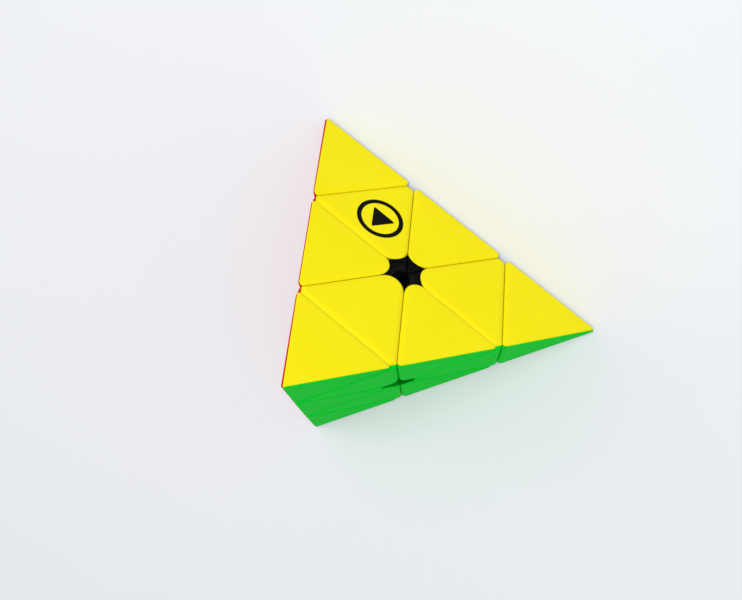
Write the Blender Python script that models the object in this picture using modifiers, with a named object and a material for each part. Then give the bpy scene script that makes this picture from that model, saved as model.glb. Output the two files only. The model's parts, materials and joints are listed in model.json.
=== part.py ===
"""Pyramid twisty puzzle: a tetrahedron that turns about four axes.

A ball core with four sprung screws holds four axial centres. Each centre carries a turning tip, and six
edges hang between the centres on spherical feet. Every visible face is a separate coloured tile on a black
inner body.

Frame: origin at the ball core's centre, where the four turning axes cross. +Z runs through the top vertex,
the yellow face looks towards -Y and the blue face lies flat underneath. Metres, sizes below in millimetres.
"""

import math

import bmesh
import bpy
from mathutils import Matrix, Vector

MM = 0.001

# ---- driving dimensions (mm) ----
EDGE = 98.0  # side of the whole tetrahedron
PLAY = 0.4  # between pieces that turn past each other
SEAM = 0.3  # between pieces fixed to each other
TILE = 2.0  # thickness of a colour tile
TILE_EDGE = 0.5  # rounding along a tile's rim
TILE_CORNER = 1.0  # rounding of a tile's corners, seen from outside
STAR_CORNER = 3.9  # rounding of the corners that meet at a face's middle
PEG_R, PEG_LENGTH = 1.4, 1.4  # six-sided locating peg under each tile
STAR_CLEAR_R = 5.4  # inner bodies stay back this far from the middle of a face
WELL_R = 2.6  # the same further in, so that no foot or wing ends in a needle

CORE_R = 8.2  # ball core
ARM_R, ARM_END = 3.2, 13.0  # core arm, and how far out it ends
PILOT_R, PILOT_BOTTOM = 1.7, 5.0  # screw hole in the arm
FOOT_R = 12.6  # outside of the edge feet, inside of the centre wings
WING_R = 16.5  # outside of the centre wings
FOOT_ANGLE = math.radians(68.0)  # half angle of a turning layer's cap, at the feet
NECK_ANGLE = math.radians(60.5)  # the same at the wings, where an edge is narrowest

FLOOR_LOW, FLOOR_TOP = 13.3, 15.3  # the wall in a centre that the spring presses on
FLOOR_HOLE_R = 1.8
POCKET_R = 4.0  # spring and screw pocket in a centre
GROOVE_R, GROOVE_LOW, GROOVE_TOP = 4.75, 26.9, 29.0  # snap groove for the tip's stem
STEM_R, BARB_R, STEM_END = 3.6, 4.4, 26.2

SCREW_R, SCREW_END = 1.4, 5.6
HEAD_R, HEAD_LOW, HEAD_TOP = 3.5, 22.3, 24.4
WIRE_R, COIL_R, COIL_TURNS = 0.5, 2.9, 3.25

ROUND = 26  # sides of a turned shape

# ---- sizes that follow from the side of the tetrahedron ----
HEIGHT = EDGE * math.sqrt(2 / 3)
FACE = HEIGHT / 4  # origin to a face
LAYER_CUT = HEIGHT / 12  # origin to the plane under a turning layer
TIP_CUT = HEIGHT * 5 / 12  # origin to the plane under a tip
BACKING = FACE - TILE - SEAM  # origin to the outside of an inner body

# ---- the four vertices, as directions from the core ----
LOW, OUT = -1 / 3, math.sqrt(8) / 3
AXES = {"top": Vector((0, 0, 1))}
for corner, bearing in (("back", 90), ("left", 210), ("right", 330)):
    a = math.radians(bearing)
    AXES[corner] = Vector((OUT * math.cos(a), OUT * math.sin(a), LOW))
EDGES = (("top", "left"), ("top", "right"), ("top", "back"), ("left", "right"), ("right", "back"), ("back", "left"))

# A face is named for its colour, and lies opposite the vertex it is keyed by.
FACE_COLOUR = {"top": "blue", "back": "yellow", "right": "green", "left": "red"}
COLOURS = {
    "yellow": (0.90, 0.76, 0.012),
    "green": (0.008, 0.46, 0.04),
    "red": (0.62, 0.012, 0.016),
    "blue": (0.02, 0.22, 0.60),
}


def clear_scene():
    for obj in list(bpy.data.objects):
        bpy.data.objects.remove(obj, do_unlink=True)


def collection(name):
    made = bpy.data.collections.new(name)
    bpy.context.scene.collection.children.link(made)
    return made


def material(name, colour, roughness, metallic=0.0):
    mat = bpy.data.materials.new(name)
    mat.use_nodes = True
    shader = mat.node_tree.nodes["Principled BSDF"]
    shader.inputs["Base Color"].default_value = (*colour, 1.0)
    shader.inputs["Roughness"].default_value = roughness
    shader.inputs["Metallic"].default_value = metallic
    mat.diffuse_color = (*colour, 1.0)
    return mat


def mesh_object(name, bm, home):
    bmesh.ops.recalc_face_normals(bm, faces=bm.faces[:])
    mesh = bpy.data.meshes.new(name)
    bm.to_mesh(mesh)
    bm.free()
    obj = bpy.data.objects.new(name, mesh)
    home.objects.link(obj)
    if home.name == "cutters":
        obj.hide_render = True
        obj.display_type = "WIRE"
    return obj


def frame_to(vertex, facing):
    """The rotation that takes the top vertex to this one, and the back vertex to the one named facing."""
    z = AXES[vertex]
    y = (AXES[facing] - z * z.dot(AXES[facing])).normalized()
    x = y.cross(z)
    return Matrix((x, y, z)).transposed().to_4x4()


def frame_for_edge(first, second, facing):
    """The rotation that takes the top-right edge to this one, and the yellow face to the one opposite facing."""
    for a, b in ((first, second), (second, first)):
        turn = frame_to(a, facing)
        if (turn @ AXES["right"] - AXES[b]).length < 1e-3:
            return turn
    raise ValueError("these three vertices don't bound an edge")


# ---- flat-sided shapes: a block trimmed by planes ----
def trim(bm, planes):
    """Cuts away what lies beyond each plane, given as (direction, distance in mm), and closes the cut."""
    for direction, distance in planes:
        n = direction.normalized()
        cut = bmesh.ops.bisect_plane(
            bm,
            geom=bm.verts[:] + bm.edges[:] + bm.faces[:],
            dist=1e-7,
            plane_co=n * distance * MM,
            plane_no=n,
            clear_outer=True,
        )
        rim = [g for g in cut["geom_cut"] if isinstance(g, bmesh.types.BMEdge)]
        if rim:
            bmesh.ops.edgeloop_fill(bm, edges=rim)
    bmesh.ops.remove_doubles(bm, verts=bm.verts[:], dist=1e-7)


def trimmed_block(planes):
    bm = bmesh.new()
    bmesh.ops.create_cube(bm, size=4 * EDGE * MM)
    trim(bm, planes)
    return bm


def cylinder(bm, axis, radius, low, high, sides=24):
    """A cylinder along an axis through the origin, between two distances from it, in mm."""
    turn = Vector((0, 0, 1)).rotation_difference(axis).to_matrix().to_4x4()
    middle = Matrix.Translation(axis * (low + high) / 2 * MM)
    bmesh.ops.create_cone(
        bm,
        cap_ends=True,
        segments=sides,
        radius1=radius * MM,
        radius2=radius * MM,
        depth=(high - low) * MM,
        matrix=middle @ turn,
    )


def cylinder_object(name, home, axis, radius, low, high, sides=24):
    bm = bmesh.new()
    cylinder(bm, axis, radius, low, high, sides)
    return mesh_object(name, bm, home)


def ball(name, home, radius, across=32, down=16):
    bm = bmesh.new()
    bmesh.ops.create_uvsphere(bm, u_segments=across, v_segments=down, radius=radius * MM)
    return mesh_object(name, bm, home)


def turned(name, home, profile, sides=ROUND):
    """A profile of (radius, height) points in mm, listed from the top down, turned about Z."""
    bm = bmesh.new()
    points = [bm.verts.new((r * MM, 0, z * MM)) for r, z in profile]
    for a, b in zip(points, points[1:]):
        bm.edges.new((a, b))
    obj = mesh_object(name, bm, home)
    screw = obj.modifiers.new("turn", "SCREW")
    screw.axis = "Z"
    screw.steps = screw.render_steps = sides
    screw.use_merge_vertices = True
    screw.merge_threshold = 1e-6
    screw.use_normal_calculate = False
    bake(obj)
    return obj


def bake(obj):
    """Replaces an object's mesh with its evaluated one, so that copies can share it."""
    bpy.context.view_layer.update()
    graph = bpy.context.evaluated_depsgraph_get()
    mesh = bpy.data.meshes.new_from_object(obj.evaluated_get(graph))
    obj.modifiers.clear()
    obj.data = mesh


def boolean(obj, operation, *cutters):
    for cutter in cutters:
        mod = obj.modifiers.new(operation.lower(), "BOOLEAN")
        mod.operation = operation
        mod.solver = "EXACT"
        mod.object = cutter
    bake(obj)


def copy_of(source, name, home, turn=Matrix.Identity(4)):
    obj = bpy.data.objects.new(name, source.data)
    obj.matrix_world = turn
    home.objects.link(obj)
    if home.name == "cutters":
        obj.hide_render = True
        obj.display_type = "WIRE"
    return obj


# ---- the surface that parts a turning layer from the rest ----
def arc(radius, start, stop, steps=1):
    return [
        (radius * math.sin(start + (stop - start) * i / steps), radius * math.cos(start + (stop - start) * i / steps))
        for i in range(steps + 1)
    ]


def layer_cap(name, home, inward):
    """All of a layer's space about the top axis, drawn in by this many mm (or let out, when negative).

    From the core outwards it is bounded by a wide cone at the feet, a narrow cone at the wings, and the
    layer's plane beyond them, so that whole layer turns as one and every edge foot is caught by the wings.
    """
    plane = LAYER_CUT + inward
    foot, wing = FOOT_R - inward, WING_R + inward
    inner = CORE_R - 1.0

    def on_cone(angle, radius):
        a = angle - inward / radius
        return radius * math.sin(a), radius * math.cos(a)

    neck_low, neck_high = NECK_ANGLE - inward / foot, NECK_ANGLE - inward / wing
    profile = [(0, 1.2 * EDGE), (1.2 * EDGE, 1.2 * EDGE), (1.2 * EDGE, plane)]
    profile += arc(wing, math.acos(plane / wing), neck_high)
    profile += arc(foot, neck_low, FOOT_ANGLE - inward / foot)
    profile += [on_cone(FOOT_ANGLE, inner), (0, on_cone(FOOT_ANGLE, inner)[1])]
    return turned(name, home, profile)


# ---- colour tiles ----
def upright(face, direction, distance):
    """The plane square to the face that meets it in the same line as the given plane does."""
    lean = direction.dot(face)
    flat = direction - face * lean
    return flat, (distance * direction.length - lean * FACE) / flat.length


def tile(name, home, sides, middle, undercuts=()):
    """A colour tile on the yellow face: an upright outline with rounded corners and rim, walls that lean in where
    the piece narrows, and a peg."""
    face = -AXES["back"]
    bm = trimmed_block([(face, FACE), (-face, TILE - FACE), *(upright(face, *side) for side in sides)])

    def depth(vertex):
        return FACE - face.dot(vertex.co) / MM

    across = [e for e in bm.edges if abs(depth(e.verts[0]) - depth(e.verts[1])) > TILE / 2]
    centre = face * FACE * MM
    for radius, star in ((STAR_CORNER, True), (TILE_CORNER, False)):
        chosen = [
            e for e in across if e.is_valid and (min((v.co - centre).length for v in e.verts) < 2 * TILE * MM) == star
        ]
        if chosen:
            bmesh.ops.bevel(
                bm,
                geom=chosen,
                offset=radius / math.tan(math.radians(30)) * MM,
                segments=4 if star else 2,
                profile=0.5,
                affect="EDGES",
            )
    rim = [e for e in bm.edges if max(depth(v) for v in e.verts) < 1e-3]
    bmesh.ops.bevel(bm, geom=rim, offset=TILE_EDGE * MM, segments=2, profile=0.5, affect="EDGES")
    trim(bm, [side for side in sides if side[0].dot(face) < 0])
    trim(bm, undercuts)
    obj = mesh_object(name, bm, home)
    boolean(obj, "UNION", peg("peg_" + name, cutters, middle, PEG_R, FACE - TILE - PEG_LENGTH, FACE - TILE / 2))
    return obj


def peg(name, home, middle, radius, low, high):
    """A six-sided prism square to the yellow face, at this height up the face from its middle."""
    face = -AXES["back"]
    bm = bmesh.new()
    cylinder(bm, face, radius, low, high, sides=6)
    bmesh.ops.translate(bm, verts=bm.verts[:], vec=middle * MM)
    return mesh_object(name, bm, home)


def facet_middle(across, up):
    """A point on the yellow face, as a shift from its middle: across to the right and up towards the top."""
    up_face = (AXES["top"] + AXES["back"] / 3).normalized()
    return Vector((1, 0, 0)) * across + up_face * up


clear_scene()
puzzle = collection("pyramid_twisty_puzzle")
cutters = collection("cutters")

top, back, left, right = (AXES[k] for k in ("top", "back", "left", "right"))
ROW = EDGE / math.sqrt(12)  # height of one row of facets
half = PLAY / 2

CENTRE_PEG = facet_middle(0, ROW * 2 / 3)
TIP_PEG = facet_middle(0, ROW * 4 / 3)
EDGE_PEG = facet_middle(EDGE / 6, ROW / 3)


def mitre(neighbour):
    """The plane through the core and a ridge, drawn in by half a seam, between yellow and this vertex's face."""
    return back - neighbour, -SEAM / 2


# ---- master shapes, each made once in the top or top-right place ----
outer_planes = [(-back, BACKING), (-left, BACKING), (-right, BACKING)]

cap_in = layer_cap("cap_in", cutters, half)
cap_out = layer_cap("cap_out", cutters, -half)
cap_out_at = {k: copy_of(cap_out, "cap_out_" + k, cutters, frame_to(k, "top")) for k in ("back", "left", "right")}
cap_in_right = copy_of(cap_in, "cap_in_right", cutters, frame_to("right", "top"))
core_clear = ball("core_clear", cutters, CORE_R + PLAY, 28, 14)


def star_clear(vertex):
    """The well in the middle of a face: wide outside the wings, narrow down past the feet."""
    well = turned(
        "star_clear_" + vertex,
        cutters,
        [
            (0, 1.4 * FACE),
            (STAR_CLEAR_R, 1.4 * FACE),
            (STAR_CLEAR_R, WING_R + 0.3),
            (WELL_R, WING_R + 0.3),
            (WELL_R, CORE_R - 1),
            (0, CORE_R - 1),
        ],
        14,
    )
    well.matrix_world = Vector((0, 0, 1)).rotation_difference(-AXES[vertex]).to_matrix().to_4x4()
    return well


stars = {k: star_clear(k) for k in ("back", "left", "right")}

# Peg holes for a centre, a tip and an edge, on each of its faces.
HOLE_R, HOLE_LOW = PEG_R + SEAM, FACE - TILE - PEG_LENGTH - SEAM


def peg_holes(name, middle, turns):
    master = peg("hole_" + name, cutters, middle, HOLE_R, HOLE_LOW, FACE)
    return [copy_of(master, "hole_%s_%d" % (name, i), cutters, turn) for i, turn in enumerate(turns)]


around_top = [frame_to("top", k) for k in ("back", "left", "right")]

centre_body = mesh_object("centre_master", trimmed_block([(top, TIP_CUT - half), *outer_planes]), cutters)
boolean(centre_body, "INTERSECT", cap_in)
boolean(centre_body, "DIFFERENCE", *cap_out_at.values())
pocket = turned(
    "pocket",
    cutters,
    [
        (0, TIP_CUT + 1),
        (POCKET_R + 0.6, TIP_CUT + 1),
        (POCKET_R, TIP_CUT - 1.2),
        (POCKET_R, GROOVE_TOP),
        (GROOVE_R, GROOVE_TOP - 0.6),
        (GROOVE_R, GROOVE_LOW),
        (POCKET_R, GROOVE_LOW - 0.4),
        (POCKET_R, FLOOR_TOP),
        (FLOOR_HOLE_R, FLOOR_TOP),
        (FLOOR_HOLE_R, FLOOR_LOW),
        (ARM_R + PLAY, FLOOR_LOW),
        (ARM_R + PLAY, 2),
        (0, 2),
    ],
    18,
)
boolean(centre_body, "DIFFERENCE", core_clear, pocket, *stars.values(), *peg_holes("centre", CENTRE_PEG, around_top))

tip_body = mesh_object("tip_master", trimmed_block([(-top, -TIP_CUT - half), *outer_planes]), cutters)
stem = turned(
    "stem",
    cutters,
    [
        (0, TIP_CUT + 3),
        (STEM_R, TIP_CUT + 3),
        (STEM_R, GROOVE_TOP - 0.4),
        (BARB_R, GROOVE_TOP - 1.0),
        (BARB_R, GROOVE_LOW + 0.4),
        (STEM_R - 0.3, STEM_END + 0.2),
        (STEM_R - 0.6, STEM_END),
        (0, STEM_END),
    ],
    18,
)
boolean(tip_body, "UNION", stem)
boolean(tip_body, "DIFFERENCE", *peg_holes("tip", TIP_PEG, around_top))

edge_turns = [frame_for_edge("top", "right", "back"), frame_for_edge("top", "right", "left")]
edge_body = mesh_object("edge_master", trimmed_block([(-back, BACKING), (-left, BACKING)]), cutters)
boolean(edge_body, "INTERSECT", cap_in, cap_in_right)
boolean(edge_body, "DIFFERENCE", core_clear, stars["back"], stars["left"], *peg_holes("edge", EDGE_PEG, edge_turns))

tip_tile = tile("tip_tile_master", cutters, [(-top, -TIP_CUT - half), mitre(left), mitre(right)], TIP_PEG)
centre_tile = tile(
    "centre_tile_master",
    cutters,
    [(top, TIP_CUT - half), (left, LAYER_CUT - half), (right, LAYER_CUT - half)],
    CENTRE_PEG,
    undercuts=[mitre(left), mitre(right)],
)
edge_tile = tile(
    "edge_tile_master",
    cutters,
    [(-top, -LAYER_CUT - half), (-right, -LAYER_CUT - half), mitre(left)],
    EDGE_PEG,
)

screw = turned(
    "screw_master",
    cutters,
    [
        (0, HEAD_TOP),
        (HEAD_R * 0.6, HEAD_TOP),
        (HEAD_R * 0.86, HEAD_TOP - 0.5),
        (HEAD_R * 0.9, HEAD_LOW + 0.7),
        (HEAD_R, HEAD_LOW + 0.7),
        (HEAD_R, HEAD_LOW),
        (SCREW_R, HEAD_LOW),
        (SCREW_R, SCREW_END + 1.2),
        (0.4, SCREW_END),
        (0, SCREW_END),
    ],
    20,
)
slot_bm = bmesh.new()
bmesh.ops.create_cube(slot_bm, size=1.0)
bmesh.ops.scale(slot_bm, vec=(3.0 * MM, 0.7 * MM, 2.4 * MM), verts=slot_bm.verts[:])
bmesh.ops.translate(slot_bm, vec=(0, 0, HEAD_TOP * MM), verts=slot_bm.verts[:])
slot = mesh_object("driver_slot", slot_bm, cutters)
slot_across = copy_of(slot, "driver_slot_across", cutters, Matrix.Rotation(math.radians(90), 4, "Z"))
boolean(screw, "DIFFERENCE", slot, slot_across)


def coil(name, home):
    """A compression spring about the top axis, from the centre's floor to the screw's head."""
    low, high = FLOOR_TOP + WIRE_R + 0.1, HEAD_LOW - WIRE_R - 0.1
    curve = bpy.data.curves.new(name, "CURVE")
    curve.dimensions = "3D"
    curve.bevel_depth = WIRE_R * MM
    curve.bevel_resolution = 1
    curve.use_fill_caps = True
    per_turn = 12
    flat = 0.75  # turns lying flat at each end
    count = int((COIL_TURNS + 2 * flat) * per_turn) + 1
    line = curve.splines.new("POLY")
    line.points.add(count - 1)
    pitch_start = 2.3 * WIRE_R * flat  # a flat end still climbs enough to clear the wire it lies on
    for i in range(count):
        turns = i / per_turn
        if turns < flat:
            z = low + pitch_start * turns / flat
        elif turns > COIL_TURNS + flat:
            z = high - pitch_start * (COIL_TURNS + 2 * flat - turns) / flat
        else:
            z = low + pitch_start + (high - low - 2 * pitch_start) * (turns - flat) / COIL_TURNS
        a = 2 * math.pi * turns
        line.points[i].co = (COIL_R * math.cos(a) * MM, COIL_R * math.sin(a) * MM, z * MM, 1)
    guide = bpy.data.objects.new(name + "_guide", curve)
    home.objects.link(guide)
    bpy.context.view_layer.update()
    mesh = bpy.data.meshes.new_from_object(guide.evaluated_get(bpy.context.evaluated_depsgraph_get()))
    bpy.data.objects.remove(guide, do_unlink=True)
    bm = bmesh.new()
    bm.from_mesh(mesh)
    bmesh.ops.remove_doubles(bm, verts=bm.verts[:], dist=1e-6)
    return mesh_object(name, bm, home)


spring = coil("spring_master", cutters)


# ---- the nodes ----
def place(source, name, turn, colour, roughness, metallic=0.0, smooth=True):
    obj = bpy.data.objects.new(name, source.data.copy())
    obj.data.name = name
    obj.matrix_world = turn
    obj.data.materials.clear()
    obj.data.materials.append(material(name, colour, roughness, metallic))
    if smooth:
        obj.data.shade_smooth()
        obj.data.set_sharp_from_angle(angle=math.radians(30))
    puzzle.objects.link(obj)
    return obj


BLACK, STEEL = (0.012, 0.012, 0.014), (0.55, 0.55, 0.56)

core = ball("core_master", cutters, CORE_R, 28, 14)
arms = [cylinder_object("arm_" + k, cutters, axis, ARM_R, 4, ARM_END, 16) for k, axis in AXES.items()]
pilots = [cylinder_object("pilot_" + k, cutters, axis, PILOT_R, PILOT_BOTTOM, ARM_END + 2, 12) for k, axis in AXES.items()]
boolean(core, "UNION", *arms)
boolean(core, "DIFFERENCE", *pilots)
place(core, "core_ball", Matrix.Identity(4), (0.02, 0.02, 0.022), 0.4)

for vertex in AXES:
    others = [k for k in AXES if k != vertex]
    turn = frame_to(vertex, others[-1])
    place(screw, "screw_" + vertex, turn, STEEL, 0.3, 1.0)
    place(spring, "spring_" + vertex, turn, STEEL, 0.25, 1.0)
    place(centre_body, "centre_%s_body" % vertex, turn, BLACK, 0.45)
    place(tip_body, "tip_%s_body" % vertex, turn, BLACK, 0.45)
    for facing in others:
        colour = FACE_COLOUR[facing]
        turn = frame_to(vertex, facing)
        place(centre_tile, "centre_%s_tile_%s" % (vertex, colour), turn, COLOURS[colour], 0.3)
        place(tip_tile, "tip_%s_tile_%s" % (vertex, colour), turn, COLOURS[colour], 0.3)

for first, second in EDGES:
    faces = [k for k in AXES if k not in (first, second)]
    name = "edge_%s_%s" % (first, second)
    place(edge_body, name + "_body", frame_for_edge(first, second, faces[0]), BLACK, 0.45)
    for facing in faces:
        colour = FACE_COLOUR[facing]
        place(edge_tile, "%s_tile_%s" % (name, colour), frame_for_edge(first, second, facing), COLOURS[colour], 0.3)
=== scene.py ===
"""Looks of the pyramid twisty puzzle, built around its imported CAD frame.

Each CAD colour tile is replaced by a finely rounded one in the same place: soft rims along the grooves, a
rounded ridge where two colours meet, slightly blunt vertices, a blunted corner on each axial centre, and the
six-pointed opening in the middle of a face. Inner bodies, springs, screws and the core keep their CAD meshes
and get materials.

Sizes are in millimetres and are worked out from the frame. A tile is drawn on the yellow face, in face
coordinates: across to the right, up towards the top vertex, and depth below the face.
"""

import json
import math

import bmesh
import bpy
import numpy as np
from mathutils import Matrix, Vector


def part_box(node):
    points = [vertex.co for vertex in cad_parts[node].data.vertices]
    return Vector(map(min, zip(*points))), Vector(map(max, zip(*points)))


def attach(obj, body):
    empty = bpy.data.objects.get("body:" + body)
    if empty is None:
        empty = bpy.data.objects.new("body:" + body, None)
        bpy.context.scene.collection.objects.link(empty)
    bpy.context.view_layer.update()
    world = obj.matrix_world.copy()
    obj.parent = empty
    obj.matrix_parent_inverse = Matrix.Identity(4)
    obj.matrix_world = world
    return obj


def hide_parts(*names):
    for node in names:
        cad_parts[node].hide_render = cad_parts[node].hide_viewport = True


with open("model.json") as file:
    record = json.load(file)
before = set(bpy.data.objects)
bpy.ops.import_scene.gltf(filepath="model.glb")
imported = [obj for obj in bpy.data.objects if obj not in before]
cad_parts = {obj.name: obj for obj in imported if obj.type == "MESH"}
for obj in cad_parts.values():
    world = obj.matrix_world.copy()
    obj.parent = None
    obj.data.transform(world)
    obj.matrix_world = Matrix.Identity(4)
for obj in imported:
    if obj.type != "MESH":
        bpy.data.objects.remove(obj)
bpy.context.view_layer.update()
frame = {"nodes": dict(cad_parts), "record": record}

MM = 0.001

# ---- sizes from the frame (mm) ----
FACE = -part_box("centre_left_tile_blue")[0].z / MM  # core's centre to a face
EDGE = FACE * 4 / math.sqrt(2 / 3)  # side of the whole tetrahedron
ROW = EDGE / math.sqrt(12)  # height of one row of facets

# ---- tile details (mm) ----
GAP = 0.11  # between the walls of two tiles that turn past each other
SEAM = 0.08  # between two colours along a ridge
THICK = 2.2  # from the flat of a tile down to its underside
RIM_WIDE = 1.9  # soft rounding along a groove, measured across the face
CENTRE_RIM_WIDE = 1.4  # the same on a centre's tiles, where the corners leave less room
RIM_DEEP = 0.85  # the same rounding, measured down the wall
RIDGE_R = 0.6  # rounding along a ridge
KNUCKLE_R = 2.2  # rounding where an axial centre's corner meets a ridge
STAR_CORNER = 4.3  # rounding of the corners that meet in the middle of a face
STAR_SHARPER = 0.6  # how much smaller the rim's rounding gets at the middle of such a corner
STAR_RELIEF = 1.1  # how much such a corner is cut back underneath, per depth below its rim
RIDGE_CORNER = 1.3  # rounding of a tile's corners at a ridge
KNUCKLE_CORNER = 0.35  # rounding of a centre tile's corners on either side of its knuckle
TIP_CORNER = 0.2  # rounding of a tip tile's corner at the vertex
LEAST_CORNER = 0.15  # no ring of a tile has a corner sharper than this
BLUNT_DEEP = 2.0  # a vertex is pressed in over this length of its axis
BLUNT_SHARE = 0.55  # how much, per distance squared
RIM_STEPS = 6  # rings along a rounding
SUPPORT = 0.25  # flat strip round the middle of a tile, so that its shading stays flat
ARC_STEP = math.radians(10)
SHARP_ANGLE = math.radians(40)  # steeper meetings of two facets of the mesh are shaded as an edge

# ---- the four vertices, as directions from the core ----
LOW, OUT = -1 / 3, math.sqrt(8) / 3
AXES = {"top": Vector((0, 0, 1))}
for corner, bearing in (("back", 90), ("left", 210), ("right", 330)):
    a = math.radians(bearing)
    AXES[corner] = Vector((OUT * math.cos(a), OUT * math.sin(a), LOW))
EDGES = (
    ("top", "left"),
    ("top", "right"),
    ("top", "back"),
    ("left", "right"),
    ("right", "back"),
    ("back", "left"),
)

# A face is named for its colour, and lies opposite the vertex it is keyed by.
FACE_COLOUR = {"top": "blue", "back": "yellow", "right": "green", "left": "red"}

# ---- the yellow face, which every tile is drawn on ----
FACING = -AXES["back"]
ACROSS = Vector((1, 0, 0))
UP = (AXES["top"] + AXES["back"] / 3).normalized()


def on_face(u, v, depth):
    """A point on or under the yellow face, in mm."""
    return FACING * (FACE - depth) + ACROSS * u + UP * v


# ---- side profiles: (inset, depth) of each ring, from the flat of the tile down to its underside ----
def rim_profile(wide, lean):
    """A rounded rim and a wall that draws in by lean with depth, as the cut under it does."""
    rings = [(wide + SUPPORT, 0.0)]
    for i in range(RIM_STEPS + 1):
        turn = math.pi / 2 * i / RIM_STEPS
        depth = RIM_DEEP * (1 - math.cos(turn))
        rings.append((wide * (1 - math.sin(turn)) + lean * depth, depth))
    half_way = (rings[-1][1] + THICK) / 2
    return rings + [(lean * half_way, half_way), (lean * THICK, THICK)]


MITRE = math.sqrt(2)  # inset per depth along the plane that halves the angle between two faces
MITRE_TURN = math.acos(1 / math.sqrt(3))  # how far a ridge's rounding turns before it meets that plane


def ridge_profile(radius, support):
    """A rounded ridge, as far as the plane where the next colour starts, and down along that plane."""
    back_off = SEAM / 2 * math.hypot(1, MITRE)
    middle = MITRE * radius
    rings = [(middle + support, 0.0)]
    for i in range(RIM_STEPS + 1):
        share = i / RIM_STEPS
        turn = MITRE_TURN * share
        rings.append((middle - radius * math.sin(turn) + back_off * share, radius * (1 - math.cos(turn))))
    half_way = (rings[-1][1] + THICK) / 2
    return rings + [(MITRE * half_way + back_off, half_way), (MITRE * THICK + back_off, THICK)]


LEAN = 1 / math.sqrt(8)  # a turning plane meets a face this far from square
WALL_IN = rim_profile(RIM_WIDE, LEAN)
WALL_OUT = rim_profile(CENTRE_RIM_WIDE, -LEAN)
RIDGE = ridge_profile(RIDGE_R, SUPPORT)
KNUCKLE = ridge_profile(KNUCKLE_R, 2 * SUPPORT)
SETBACK = GAP / 2 * math.hypot(1, LEAN)  # half of the gap, measured along the face

# Each outline lists its sides anticlockwise: (bearing in degrees, distance from the face's middle, profile,
# radius of the corner that follows the side).
TIP_SIDES = (
    (30, ROW, RIDGE, TIP_CORNER),
    (150, ROW, RIDGE, RIDGE_CORNER),
    (270, -ROW - SETBACK, WALL_IN, RIDGE_CORNER),
)
CENTRE_SIDES = (
    (30, ROW, KNUCKLE, KNUCKLE_CORNER),
    (90, ROW - SETBACK, WALL_OUT, KNUCKLE_CORNER),
    (150, ROW, KNUCKLE, KNUCKLE_CORNER),
    (210, -SETBACK, WALL_OUT, STAR_CORNER),
    (330, -SETBACK, WALL_OUT, KNUCKLE_CORNER),
)
EDGE_SIDES = (
    (30, ROW, RIDGE, RIDGE_CORNER),
    (150, -SETBACK, WALL_IN, STAR_CORNER),
    (270, -SETBACK, WALL_IN, RIDGE_CORNER),
)


def crossing(first, second):
    """Where two lines meet, each given as (bearing, distance)."""
    (a, p), (b, q) = first, second
    spread = math.sin(b - a)
    return (p * math.sin(b) - q * math.sin(a)) / spread, (q * math.cos(a) - p * math.cos(b)) / spread


def ring_points(sides, level):
    """One ring of a tile: straight sides, joined by arcs whose depth eases from one side to the next."""
    points = []
    for i, (bearing, distance, profile, corner) in enumerate(sides):
        next_bearing, next_distance, next_profile, _ = sides[(i + 1) % len(sides)]
        start, stop = math.radians(bearing), math.radians(next_bearing)
        stop += 2 * math.pi if stop < start else 0
        (inset, depth), (next_inset, next_depth) = profile[level], next_profile[level]
        radius = max(corner - (inset + next_inset) / 2, LEAST_CORNER)
        cu, cv = crossing((start, distance - inset - radius), (stop, next_distance - next_inset - radius))
        steps = round((stop - start) / ARC_STEP)
        for k in range(steps + 1):
            share = k / steps
            turn = start + (stop - start) * share
            ease = share * share * (3 - 2 * share)
            sunk = depth + (next_depth - depth) * ease
            reach = radius
            if corner == STAR_CORNER:
                swell = math.sin(math.pi * share)
                if level <= RIM_STEPS + 1:
                    reach += (inset + next_inset) / 2 * STAR_SHARPER * swell
                    sunk *= 1 - STAR_SHARPER * swell
                else:
                    reach -= STAR_RELIEF * (sunk - RIM_DEEP * (1 - STAR_SHARPER)) * swell
            points.append(on_face(cu + reach * math.cos(turn), cv + reach * math.sin(turn), sunk))
    return points


def on_vertex_ball(point):
    """Moves a point near the top vertex onto the ball that rounds it."""
    p = np.array(point)
    faces = [np.array(-AXES[k]) for k in ("back", "left", "right")]
    limit = FACE - RIDGE_R
    if min(float(n @ p) for n in faces) <= limit:
        return point
    inner = np.array(AXES["top"]) * limit * 3
    away = p - inner
    if any(float((n - m * float(n @ m)) @ away) < 0 for n in faces for m in faces if n is not m):
        return point
    return Vector(inner + away * RIDGE_R / np.linalg.norm(away))


def blunt_vertex(point):
    """Rounds the top vertex, then presses it in along its axis."""
    point = on_vertex_ball(point)
    past = point.z - (FACE * 3 - BLUNT_DEEP)
    return point - Vector((0, 0, BLUNT_SHARE * past * past)) if past > 0 else point


def tile_mesh(name, sides, rounding=None):
    """A closed tile: rings from the flat of the face down to its underside, capped at both ends."""
    bm = bmesh.new()
    rings = []
    for level in range(len(RIDGE)):
        points = ring_points(sides, level)
        if rounding:
            points = [rounding(p) for p in points]
        rings.append([bm.verts.new(p * MM) for p in points])
    for upper, lower in zip(rings, rings[1:]):
        for i in range(len(upper)):
            j = (i + 1) % len(upper)
            bm.faces.new((upper[i], lower[i], lower[j], upper[j]))
    bm.faces.new(rings[0])
    bm.faces.new(list(reversed(rings[-1])))
    bmesh.ops.recalc_face_normals(bm, faces=bm.faces[:])
    mesh = bpy.data.meshes.new(name)
    bm.to_mesh(mesh)
    bm.free()
    mesh.shade_smooth()
    mesh.set_sharp_from_angle(angle=SHARP_ANGLE)
    return mesh


# ---- materials ----
DRIFT_SCALE, GLOSS_SCALE, GRAIN_SCALE, STREAK_SCALE = 45.0, 180.0, 2600.0, 900.0  # noise, per metre
NOISE_LOW, NOISE_HIGH = 0.3, 0.7  # noise seldom leaves this range


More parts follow.
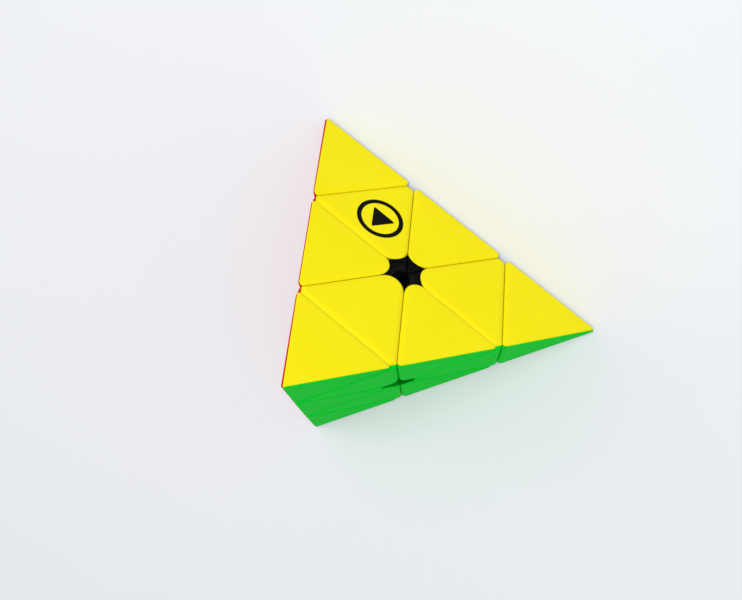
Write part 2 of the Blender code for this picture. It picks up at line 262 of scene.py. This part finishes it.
def new_material(name):
    mat = bpy.data.materials.new(name)
    mat.use_nodes = True
    return mat, mat.node_tree, mat.node_tree.nodes["Principled BSDF"]


def noise(tree, coords, scale, detail=2.0, roughness=0.5):
    node = tree.nodes.new("ShaderNodeTexNoise")
    node.inputs["Scale"].default_value = scale
    node.inputs["Detail"].default_value = detail
    node.inputs["Roughness"].default_value = roughness
    tree.links.new(coords, node.inputs["Vector"])
    return node.outputs["Fac"]


def remap(tree, value, low, high):
    """Stretches noise to run from low to high."""
    node = tree.nodes.new("ShaderNodeMapRange")
    node.inputs["From Min"].default_value = NOISE_LOW
    node.inputs["From Max"].default_value = NOISE_HIGH
    node.inputs["To Min"].default_value = low
    node.inputs["To Max"].default_value = high
    tree.links.new(value, node.inputs["Value"])
    return node.outputs["Result"]


def blend(tree, share, first, second):
    node = tree.nodes.new("ShaderNodeMix")
    node.data_type = "RGBA"
    tree.links.new(share, node.inputs["Factor"])
    node.inputs["A"].default_value = (*first, 1)
    node.inputs["B"].default_value = (*second, 1)
    return node.outputs["Result"]


def bump(tree, shader, height, strength, distance):
    node = tree.nodes.new("ShaderNodeBump")
    node.inputs["Strength"].default_value = strength
    node.inputs["Distance"].default_value = distance
    tree.links.new(height, node.inputs["Height"])
    tree.links.new(node.outputs["Normal"], shader.inputs["Normal"])


def moulded_plastic(name, colour, shade, roughness=(0.38, 0.46), grain=0.015, specular=0.05):
    """Moulded plastic: a slow drift of colour, patches of slightly different gloss, and a fine grain."""
    mat, tree, shader = new_material(name)
    coords = tree.nodes.new("ShaderNodeTexCoord").outputs["Object"]
    drift = remap(tree, noise(tree, coords, DRIFT_SCALE), 0.0, 1.0)
    tree.links.new(blend(tree, drift, colour, shade), shader.inputs["Base Color"])
    gloss = remap(tree, noise(tree, coords, GLOSS_SCALE, detail=3.0), *roughness)
    tree.links.new(gloss, shader.inputs["Roughness"])
    bump(tree, shader, noise(tree, coords, GRAIN_SCALE, roughness=0.6), grain, 0.0002)
    shader.inputs["Specular IOR Level"].default_value = specular
    return mat


def drawn_steel(name):
    """Bright drawn steel wire and screws, with fine streaks in its gloss."""
    mat, tree, shader = new_material(name)
    coords = tree.nodes.new("ShaderNodeTexCoord").outputs["Object"]
    streaks = noise(tree, coords, STREAK_SCALE, detail=4.0, roughness=0.7)
    tree.links.new(blend(tree, streaks, (0.50, 0.50, 0.52), (0.66, 0.66, 0.67)), shader.inputs["Base Color"])
    tree.links.new(remap(tree, streaks, 0.18, 0.34), shader.inputs["Roughness"])
    bump(tree, shader, streaks, 0.08, 0.0001)
    shader.inputs["Metallic"].default_value = 1.0
    return mat


def make_materials():
    """One material for each material slot of the CAD frame, and the ink of the mark."""
    satin, dull = (0.4, 0.48), (0.5, 0.6)
    return {
        "yellow_tile": moulded_plastic("yellow_plastic", (0.91, 0.79, 0.006), (0.89, 0.77, 0.005)),
        "green_tile": moulded_plastic(
            "green_plastic", (0.0005, 0.69, 0.032), (0.0005, 0.66, 0.03), satin, specular=0.003
        ),
        "red_tile": moulded_plastic(
            "red_plastic", (0.66, 0.008, 0.012), (0.62, 0.007, 0.010), satin, specular=0.003
        ),
        "blue_tile": moulded_plastic("blue_plastic", (0.012, 0.25, 0.70), (0.010, 0.23, 0.66)),
        "inner_plastic": moulded_plastic(
            "black_inner", (0.0075, 0.0072, 0.0080), (0.0090, 0.0086, 0.0096), dull, 0.05, 0.06
        ),
        "core_plastic": moulded_plastic(
            "black_core", (0.02, 0.02, 0.022), (0.026, 0.026, 0.028), (0.38, 0.5), 0.12, 0.4
        ),
        "steel": drawn_steel("bright_steel"),
        "ink": moulded_plastic(
            "black_ink", (0.003, 0.003, 0.003), (0.004, 0.004, 0.004), (0.4, 0.5), 0.02, 0.04
        ),
    }


MATERIALS = make_materials()


# ---- pieces ----
def frame_to(vertex, facing):
    """The rotation that takes the top vertex to this one, and the yellow face to the one opposite facing."""
    z = AXES[vertex]
    y = (AXES[facing] - z * z.dot(AXES[facing])).normalized()
    x = y.cross(z)
    return Matrix((x, y, z)).transposed().to_4x4()


def frame_for_edge(first, second, facing):
    """The rotation that takes the top-right edge to this one, and the yellow face opposite facing."""
    for a, b in ((first, second), (second, first)):
        turn = frame_to(a, facing)
        if (turn @ AXES["right"] - AXES[b]).length < 1e-3:
            return turn
    raise ValueError("these three vertices don't bound an edge")


def link(name, mesh, material):
    obj = bpy.data.objects.new(name, mesh)
    bpy.context.scene.collection.objects.link(obj)
    obj.data.materials.append(material)
    return obj


def add_tile(source, stem, body, colour, turn):
    """A tile of this shape and colour in place of the CAD one, riding on its body."""
    mesh = source.copy()
    mesh.transform(turn)
    tile = link("%s_cap_%s" % (stem, colour), mesh, MATERIALS[colour + "_tile"])
    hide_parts("%s_tile_%s" % (stem, colour))
    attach(tile, body)


def add_tiles():
    """Three tiles on each tip and each centre, and two on each edge."""
    tip = tile_mesh("tip_cap", TIP_SIDES, blunt_vertex)
    centre = tile_mesh("centre_cap", CENTRE_SIDES)
    edge = tile_mesh("edge_cap", EDGE_SIDES)
    for vertex in AXES:
        for facing in AXES:
            if facing == vertex:
                continue
            turn = frame_to(vertex, facing)
            colour = FACE_COLOUR[facing]
            add_tile(tip, "tip_" + vertex, "tip_" + vertex, colour, turn)
            add_tile(centre, "centre_" + vertex, "layer_" + vertex, colour, turn)
    for first, second in EDGES:
        stem = "edge_%s_%s" % (first, second)
        for facing in AXES:
            if facing not in (first, second):
                add_tile(edge, stem, stem, FACE_COLOUR[facing], frame_for_edge(first, second, facing))
    for mesh in (tip, centre, edge):
        bpy.data.meshes.remove(mesh)


# ---- the printed mark on the right-hand centre's yellow tile ----
MARK_R, MARK_LINE = 6.7, 1.3  # outside of the ring, and the width of its line
MARK_CORNER_R = 4.3  # from the mark's middle to the triangle's corners, before rounding
MARK_CORNER_ROUND = 0.35
MARK_BEARING, MARK_SHARE = math.radians(-31), 0.635  # where it sits: which way, and how far out, in rows
MARK_HEIGHT = 0.03  # the ink stands this proud of the tile, and is sunk in it as much


def flat_print(name, outer, inner=None):
    """A thin closed layer of ink on the yellow face, with an optional hole of as many points."""
    bm = bmesh.new()
    levels = []
    for depth in (-MARK_HEIGHT, MARK_HEIGHT):
        lines = [line for line in (outer, inner) if line]
        levels.append([[bm.verts.new(on_face(u, v, depth) * MM) for u, v in line] for line in lines])
    count = len(outer)
    upper, lower = levels
    for line in range(len(upper)):
        for i in range(count):
            j = (i + 1) % count
            bm.faces.new((upper[line][i], lower[line][i], lower[line][j], upper[line][j]))
    for level in levels:
        if inner:
            for i in range(count):
                j = (i + 1) % count
                bm.faces.new((level[0][i], level[0][j], level[1][j], level[1][i]))
        else:
            bm.faces.new(level[0])
    bmesh.ops.recalc_face_normals(bm, faces=bm.faces[:])
    mesh = bpy.data.meshes.new(name)
    bm.to_mesh(mesh)
    bm.free()
    return mesh


def circle(centre, radius, count=96):
    turns = [2 * math.pi * i / count for i in range(count)]
    return [(centre[0] + radius * math.cos(t), centre[1] + radius * math.sin(t)) for t in turns]


def rounded_triangle(centre, reach, radius, bearing, steps=8):
    """A triangle with a corner at this bearing, whose corners lie this far out before rounding."""
    points = []
    for k in range(3):
        toward = bearing + k * 2 * math.pi / 3
        cu = centre[0] + (reach - 2 * radius) * math.cos(toward)
        cv = centre[1] + (reach - 2 * radius) * math.sin(toward)
        for i in range(steps + 1):
            turn = toward - math.pi / 3 + 2 * math.pi / 3 * i / steps
            points.append((cu + radius * math.cos(turn), cv + radius * math.sin(turn)))
    return points


def add_mark():
    """A ring with a triangle that points away from the middle of the face."""
    out = ROW * MARK_SHARE
    middle = (out * math.cos(MARK_BEARING), out * math.sin(MARK_BEARING))
    ring = flat_print("mark_ring", circle(middle, MARK_R), circle(middle, MARK_R - MARK_LINE))
    triangle = rounded_triangle(middle, MARK_CORNER_R, MARK_CORNER_ROUND, MARK_BEARING)
    for name, mesh in (("mark_ring", ring), ("mark_triangle", flat_print("mark_triangle", triangle))):
        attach(link(name, mesh, MATERIALS["ink"]), "layer_right")


# ---- setting: floor, lights, camera (metres) ----
FLOOR_R = 2.5
FLOOR_DROP = 0.0002  # the floor lies this far below the object

VIEW_AZIMUTH, VIEW_ELEVATION, VIEW_ROLL = (math.radians(x) for x in (-17.761, 60.337, -125.349))
VIEW_DISTANCE, VIEW_LENS = 0.3785, 66.53
VIEW_TARGET = Vector((0.00448, -0.00161, -0.00024))

LIGHT_DISTANCE = 0.9
KEY_SIZE, KEY_POWER = 0.4, 4.45
FILL_SIZE, FILL_POWER = 0.5, 1.0
FILL_FROM = Vector((0.9, 0.35, 0.5))  # lights the red side
SKY_COLOUR, SKY_STRENGTH = (0.93, 0.95, 1.0, 1), 0.62


def add_floor():
    bm = bmesh.new()
    bmesh.ops.create_circle(bm, cap_ends=True, radius=FLOOR_R, segments=96)
    mesh = bpy.data.meshes.new("floor")
    bm.to_mesh(mesh)
    bm.free()
    mat, tree, shader = new_material("pale_floor")
    coords = tree.nodes.new("ShaderNodeTexCoord").outputs["Object"]
    drift = noise(tree, coords, 4.0)
    tree.links.new(blend(tree, drift, (0.78, 0.79, 0.80), (0.80, 0.81, 0.82)), shader.inputs["Base Color"])
    shader.inputs["Roughness"].default_value = 0.9
    shader.inputs["Specular IOR Level"].default_value = 0.1
    floor = link("floor", mesh, mat)
    floor.location.z = -FACE * MM - FLOOR_DROP


def view_axes():
    """The camera's right, up and backward directions."""
    flat = math.cos(VIEW_ELEVATION)
    away = Vector((flat * math.sin(VIEW_AZIMUTH), -flat * math.cos(VIEW_AZIMUTH), math.sin(VIEW_ELEVATION)))
    level = (-away).cross(Vector((0, 0, 1))).normalized()
    upright = level.cross(-away)
    right = level * math.cos(VIEW_ROLL) + upright * math.sin(VIEW_ROLL)
    up = upright * math.cos(VIEW_ROLL) - level * math.sin(VIEW_ROLL)
    return right, up, away


def add_camera():
    data = bpy.data.cameras.new("camera")
    data.lens = VIEW_LENS
    data.sensor_width = 36
    data.clip_start, data.clip_end = 0.02, 20
    camera = bpy.data.objects.new("camera", data)
    bpy.context.scene.collection.objects.link(camera)
    right, up, away = view_axes()
    turn = Matrix((right, up, away)).transposed().to_4x4()
    camera.matrix_world = Matrix.Translation(VIEW_TARGET + away * VIEW_DISTANCE) @ turn
    bpy.context.scene.camera = camera


def add_softbox(name, direction, size, power):
    """A square area light in this direction from the object, aimed at it."""
    data = bpy.data.lights.new(name, "AREA")
    data.shape = "SQUARE"
    data.size = size
    data.energy = power
    lamp = bpy.data.objects.new(name, data)
    bpy.context.scene.collection.objects.link(lamp)
    away = direction.normalized()
    lamp.location = away * LIGHT_DISTANCE
    lamp.rotation_mode = "QUATERNION"
    lamp.rotation_quaternion = away.to_track_quat("Z", "Y")


def add_lights():
    """A key light near the camera, to its left, a weaker fill, and an even pale sky."""
    right, up, away = view_axes()
    add_softbox("key", FACING * 0.3 + away - right * 0.35 - up * 0.12, KEY_SIZE, KEY_POWER)
    add_softbox("fill", FILL_FROM, FILL_SIZE, FILL_POWER)
    world = bpy.data.worlds.new("studio")
    bpy.context.scene.world = world
    world.use_nodes = True
    sky = world.node_tree.nodes["Background"]
    sky.inputs["Color"].default_value = SKY_COLOUR
    sky.inputs["Strength"].default_value = SKY_STRENGTH
    bpy.context.scene.view_settings.view_transform = "Standard"


add_tiles()
add_mark()
for node in frame["record"]["subparts"]:
    cad = frame["nodes"][node["node"]]
    cad.data.materials.clear()
    cad.data.materials.append(MATERIALS[node["material_slot"]])
add_floor()
add_camera()
add_lights()
